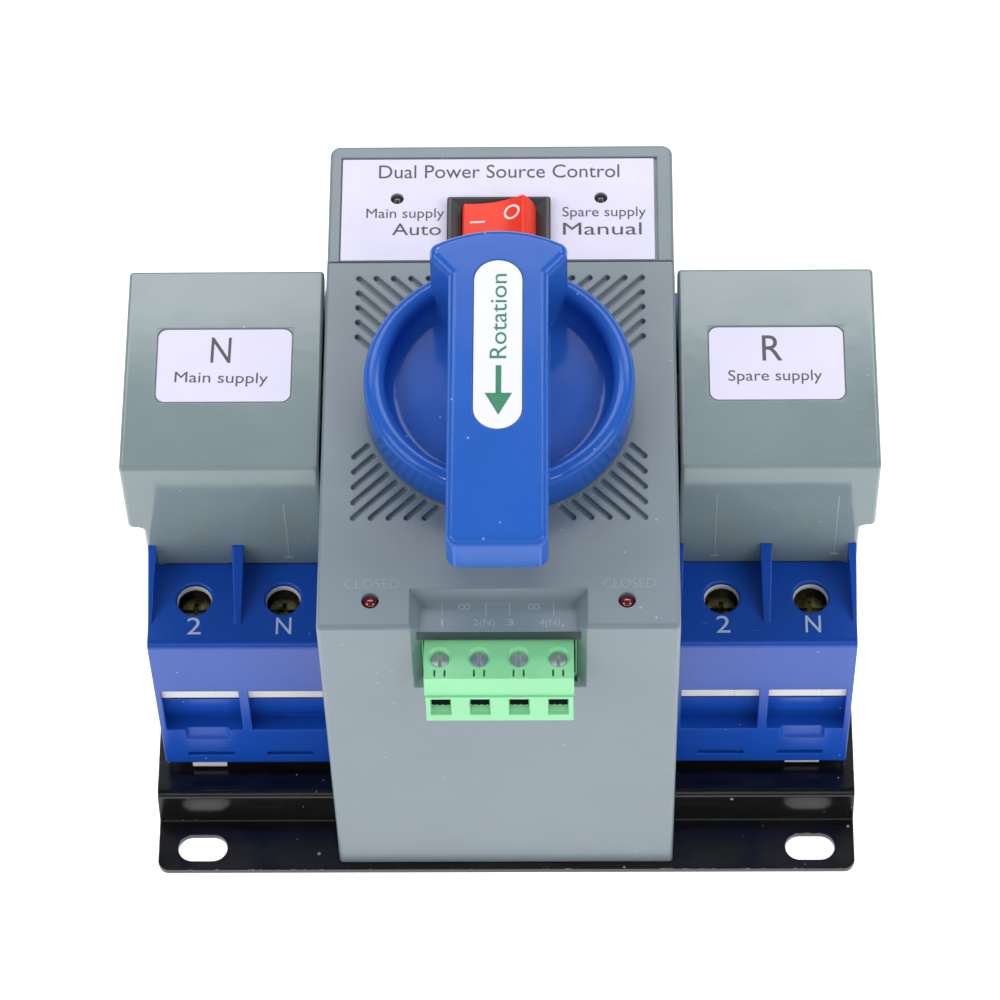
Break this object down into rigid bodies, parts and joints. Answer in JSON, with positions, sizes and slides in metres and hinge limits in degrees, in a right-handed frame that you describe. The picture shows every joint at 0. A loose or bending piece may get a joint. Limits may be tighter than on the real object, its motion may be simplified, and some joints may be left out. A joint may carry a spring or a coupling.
{
  "type": "manual transfer switch",
  "caption": "Dual-supply changeover switch: grey actuator case with a blue rotary handle between two modular breakers on a black slotted plate.",
  "frame": {"origin": "centre of the slotted bolt pattern, on the mounting plate's back face", "axes": "+Z out of the front of the device, +X towards the right-hand breaker, -Y towards the control plug"},
  "size_m": [0.15, 0.1217, 0.1237],
  "materials": {
    "black_plate": "gloss black stoved paint on 1.5 mm steel",
    "zinc_rail": "zinc-plated top-hat rail",
    "zinc_fastener": "zinc-plated steel screws and rivets",
    "case_grey": "moulded grey ABS, semi-gloss",
    "cover_grey": "moulded grey ABS, gloss",
    "shell_white": "white polyamide breaker shell",
    "shroud_blue": "blue moulded plastic",
    "handle_blue": "bright blue gloss ABS",
    "label_white": "printed PVC label, lavender white",
    "tag_white": "printed white tag",
    "toggle_black": "black moulded toggle",
    "latch_white": "white polyamide latch",
    "brass_terminal": "yellow-passivated terminal screws",
    "clamp_steel": "plated cage clamps",
    "copper_parts": "copper contact parts",
    "chute_steel": "steel splitter plates",
    "coil_copper": "enamelled winding",
    "bimetal_strip": "bimetal",
    "chassis_steel": "zinc-plated sheet steel",
    "drive_nylon": "natural nylon gear and slides",
    "shaft_steel": "turned steel shaft",
    "motor_can": "motor can",
    "bezel_black": "dark grey rocker frame",
    "rocker_red": "red rocker paddle",
    "blade_brass": "tinned brass blades and pins",
    "supply_lens": "unlit lamp behind the panel hole",
    "closed_lens": "dark red lens",
    "board_green": "circuit board",
    "relay_black": "relay cases",
    "terminal_green": "mint green terminal plastic",
    "plug_screw_steel": "nickel-plated clamp screws"
  },
  "bodies": {
    "root": {"base_plate": "black_plate", "din_rails": "zinc_rail", "rail_rivets": "zinc_fastener", "base_screws": "zinc_fastener", "shell_rivets": "zinc_fastener", "arc_chutes": "chute_steel", "trip_coils": "coil_copper", "fixed_contacts": "copper_parts", "bimetals": "bimetal_strip", "left_breaker_pole_1_base": "shell_white", "left_breaker_pole_1_cover": "shell_white", "left_breaker_pole_2_base": "shell_white", "left_breaker_pole_2_cover": "shell_white", "right_breaker_pole_1_base": "shell_white", "right_breaker_pole_1_cover": "shell_white", "right_breaker_pole_2_base": "shell_white", "right_breaker_pole_2_cover": "shell_white", "left_terminal_clamps": "clamp_steel", "left_terminal_screws": "brass_terminal", "left_near_shroud": "shroud_blue", "left_far_shroud": "shroud_blue", "left_cover": "cover_grey", "left_label": "label_white", "right_terminal_clamps": "clamp_steel", "right_terminal_screws": "brass_terminal", "right_near_shroud": "shroud_blue", "right_far_shroud": "shroud_blue", "right_cover": "cover_grey", "right_label": "label_white", "centre_case": "case_grey", "panel_cover": "case_grey", "panel_label": "label_white", "chassis": "chassis_steel", "motor": "motor_can", "rocker_bezel": "bezel_black", "rocker_blades": "blade_brass", "supply_lamps": "supply_lens", "closed_lamps": "closed_lens", "control_board": "board_green", "board_relays": "relay_black", "limit_switches": "relay_black", "terminal_header": "terminal_green", "header_pins": "blade_brass"},
    "handle_unit": {"handle": "handle_blue", "handle_label": "tag_white", "drive_shaft": "shaft_steel", "drive_gear": "drive_nylon"},
    "motor_pinion_unit": {"motor_pinion": "drive_nylon"},
    "left_slide_unit": {"left_slide": "drive_nylon"},
    "right_slide_unit": {"right_slide": "drive_nylon"},
    "left_toggle_unit": {"left_toggles": "toggle_black"},
    "right_toggle_unit": {"right_toggles": "toggle_black"},
    "left_contact_unit": {"left_contact_arms": "copper_parts"},
    "right_contact_unit": {"right_contact_arms": "copper_parts"},
    "rocker_unit": {"rocker_button": "rocker_red"},
    "plug_unit": {"terminal_plug": "terminal_green", "plug_screws": "plug_screw_steel", "plug_clamps": "clamp_steel"},
    "left_latch_unit": {"left_rail_latch": "latch_white"},
    "right_latch_unit": {"right_rail_latch": "latch_white"}
  },
  "joints": [
    {"name": "handle_turn", "type": "hinge", "parent": "root", "child": "handle_unit", "pos_m": [0, -0.00448, 0.1017], "axis": [0, 0, 1], "range_deg": [-90, 90]},
    {"name": "motor_pinion_spin", "type": "hinge", "parent": "root", "child": "motor_pinion_unit", "pos_m": [0, 0.01552, 0.0905], "axis": [0, 0, 1], "range_deg": [-360, 360]},
    {"name": "left_slide_travel", "type": "slide", "parent": "root", "child": "left_slide_unit", "axis": [0, 1, 0], "range_m": [-0.0081, 0.0081]},
    {"name": "right_slide_travel", "type": "slide", "parent": "root", "child": "right_slide_unit", "axis": [0, 1, 0], "range_m": [-0.0081, 0.0081]},
    {"name": "left_toggle_swing", "type": "hinge", "parent": "root", "child": "left_toggle_unit", "pos_m": [-0.0534, 0.00445, 0.0715], "axis": [1, 0, 0], "range_deg": [-36.5, 36.5]},
    {"name": "right_toggle_swing", "type": "hinge", "parent": "root", "child": "right_toggle_unit", "pos_m": [0.0534, 0.00445, 0.0715], "axis": [1, 0, 0], "range_deg": [-36.5, 36.5]},
    {"name": "left_contact_swing", "type": "hinge", "parent": "root", "child": "left_contact_unit", "pos_m": [-0.0534, 0.01045, 0.052], "axis": [1, 0, 0], "range_deg": [-8.1, 8.1]},
    {"name": "right_contact_swing", "type": "hinge", "parent": "root", "child": "right_contact_unit", "pos_m": [0.0534, 0.01045, 0.052], "axis": [1, 0, 0], "range_deg": [-8.1, 8.1]},
    {"name": "rocker_tilt", "type": "hinge", "parent": "root", "child": "rocker_unit", "pos_m": [-0.0004, 0.036, 0.1023], "axis": [0, 1, 0], "range_deg": [0, 30]},
    {"name": "plug_pull", "type": "slide", "parent": "root", "child": "plug_unit", "axis": [0, -1, 0], "range_m": [0, 0.01]},
    {"name": "left_latch_pull", "type": "slide", "parent": "root", "child": "left_latch_unit", "axis": [0, -1, 0], "range_m": [0, 0.0035]},
    {"name": "right_latch_pull", "type": "slide", "parent": "root", "child": "right_latch_unit", "axis": [0, -1, 0], "range_m": [0, 0.0035]}
  ],
  "couplings": [
    {"joint": "motor_pinion_spin", "follows": "handle_turn", "ratio": -4},
    {"joint": "left_slide_travel", "follows": "handle_turn", "m_per_rad": -0.005093},
    {"joint": "right_slide_travel", "follows": "handle_turn", "m_per_rad": 0.005093},
    {"joint": "left_toggle_swing", "follows": "handle_turn", "ratio": 0.40001},
    {"joint": "right_toggle_swing", "follows": "handle_turn", "ratio": -0.40001},
    {"joint": "left_contact_swing", "follows": "handle_turn", "ratio": -0.08889},
    {"joint": "right_contact_swing", "follows": "handle_turn", "ratio": 0.08889}
  ]
}
